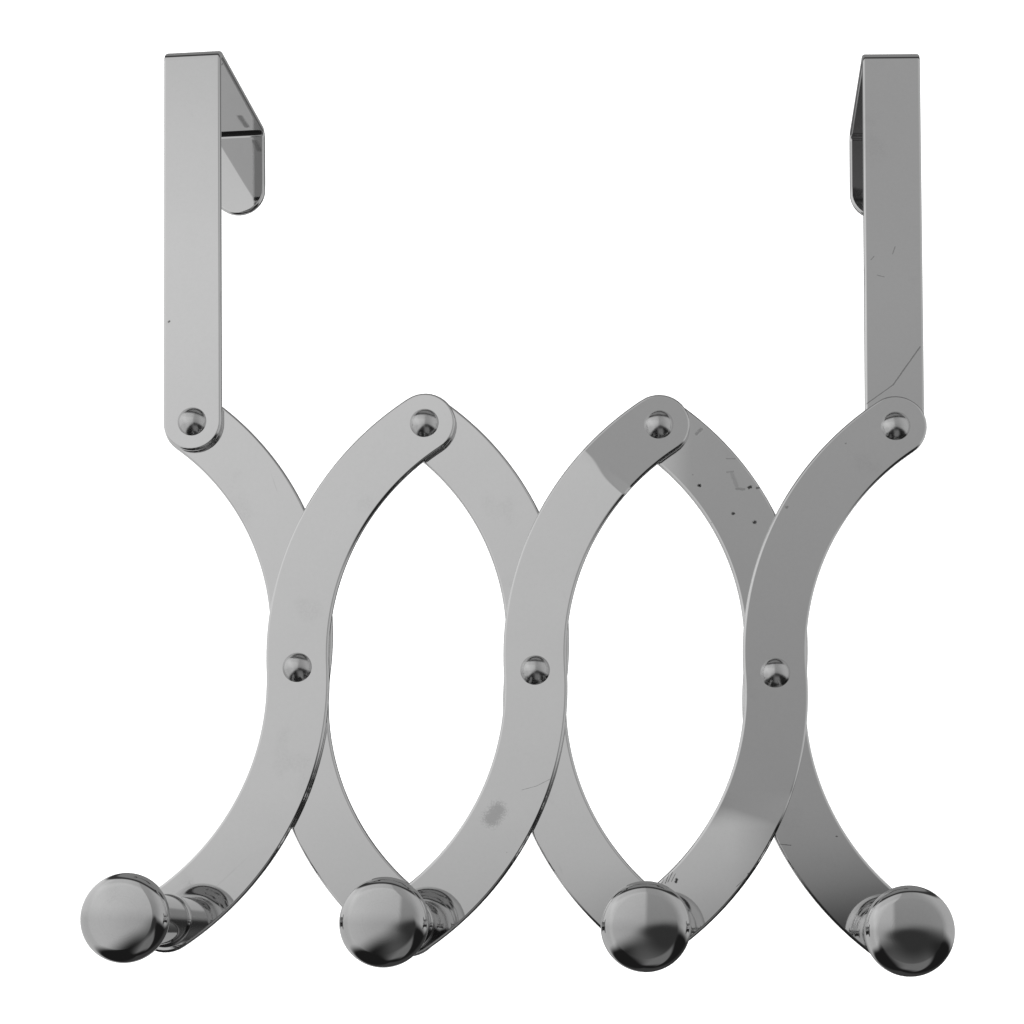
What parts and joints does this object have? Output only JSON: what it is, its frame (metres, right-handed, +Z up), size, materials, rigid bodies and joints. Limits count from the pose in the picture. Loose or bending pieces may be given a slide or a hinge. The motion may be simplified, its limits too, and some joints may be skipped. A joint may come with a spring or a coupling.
{
  "type": "radiator hook",
  "caption": "Concertina hook rail: S-shaped strip arms riveted into a scissor linkage, bent strip hangers over a radiator's top edge and turned mushroom pegs along the bottom.",
  "frame": {"origin": "middle of the underside of the left hanger's seat, where it rests on the radiator", "axes": "+X along the rows of rivets from the left hanger to the right one, +Y from the pegs to the wall, +Z up"},
  "size_m": [0.2561, 0.119, 0.3018],
  "materials": {
    "strip": "mirror polished, lightly scuffed",
    "peg": "mirror polished",
    "rivet": "mirror polished",
    "screw": "plain zinc plated"
  },
  "bodies": {
    "left_hanger": {"left_hanger": "strip"},
    "top_rivet_1": {"top_rivet_1": "rivet"},
    "rear_arm_1": {"rear_arm_1": "strip"},
    "front_arm_1": {"front_arm_1": "strip", "middle_rivet_1": "rivet", "top_rivet_2": "rivet", "peg_1": "peg", "peg_screw_1": "screw"},
    "rear_arm_2": {"rear_arm_2": "strip"},
    "front_arm_2": {"front_arm_2": "strip", "middle_rivet_2": "rivet", "top_rivet_3": "rivet", "peg_2": "peg", "peg_screw_2": "screw"},
    "rear_arm_3": {"rear_arm_3": "strip", "peg_4": "peg", "peg_screw_4": "screw"},
    "front_arm_3": {"front_arm_3": "strip", "middle_rivet_3": "rivet", "peg_3": "peg", "peg_screw_3": "screw"},
    "top_rivet_4": {"top_rivet_4": "rivet"},
    "right_hanger": {"right_hanger": "strip"}
  },
  "joints": [
    {"name": "left_hanger_swing", "type": "hinge", "parent": "left_hanger", "child": "top_rivet_1", "pos_m": [0.00659, -0.03145, -0.12583], "axis": [0, -1, 0], "range_deg": [-87, 18]},
    {"name": "opening", "type": "hinge", "parent": "top_rivet_1", "child": "rear_arm_1", "pos_m": [0.00659, -0.03145, -0.12583], "axis": [0, -1, 0], "range_deg": [-15, 35]},
    {"name": "middle_pivot_1", "type": "hinge", "parent": "rear_arm_1", "child": "front_arm_1", "pos_m": [0.04442, -0.03145, -0.20584], "axis": [0, -1, 0], "range_deg": [-70, 30]},
    {"name": "top_pivot_2", "type": "hinge", "parent": "front_arm_1", "child": "rear_arm_2", "pos_m": [0.08224, -0.03145, -0.12583], "axis": [0, -1, 0], "range_deg": [-30, 70]},
    {"name": "middle_pivot_2", "type": "hinge", "parent": "rear_arm_2", "child": "front_arm_2", "pos_m": [0.12006, -0.03145, -0.20584], "axis": [0, -1, 0], "range_deg": [-70, 30]},
    {"name": "top_pivot_3", "type": "hinge", "parent": "front_arm_2", "child": "rear_arm_3", "pos_m": [0.15788, -0.03145, -0.12583], "axis": [0, -1, 0], "range_deg": [-30, 70]},
    {"name": "middle_pivot_3", "type": "hinge", "parent": "rear_arm_3", "child": "front_arm_3", "pos_m": [0.1957, -0.03145, -0.20584], "axis": [0, -1, 0], "range_deg": [-70, 30]},
    {"name": "top_pivot_4", "type": "hinge", "parent": "front_arm_3", "child": "top_rivet_4", "pos_m": [0.23352, -0.03145, -0.12583], "axis": [0, -1, 0], "range_deg": [-15, 35]},
    {"name": "right_hanger_swing", "type": "hinge", "parent": "top_rivet_4", "child": "right_hanger", "pos_m": [0.23352, -0.03145, -0.12583], "axis": [0, -1, 0], "range_deg": [-90, 14]}
  ],
  "couplings": [
    {"joint": "middle_pivot_1", "follows": "opening", "ratio": -2},
    {"joint": "top_pivot_2", "follows": "opening", "ratio": 2},
    {"joint": "middle_pivot_2", "follows": "opening", "ratio": -2},
    {"joint": "top_pivot_3", "follows": "opening", "ratio": 2},
    {"joint": "middle_pivot_3", "follows": "opening", "ratio": -2},
    {"joint": "top_pivot_4", "follows": "opening", "ratio": 1}
  ]
}
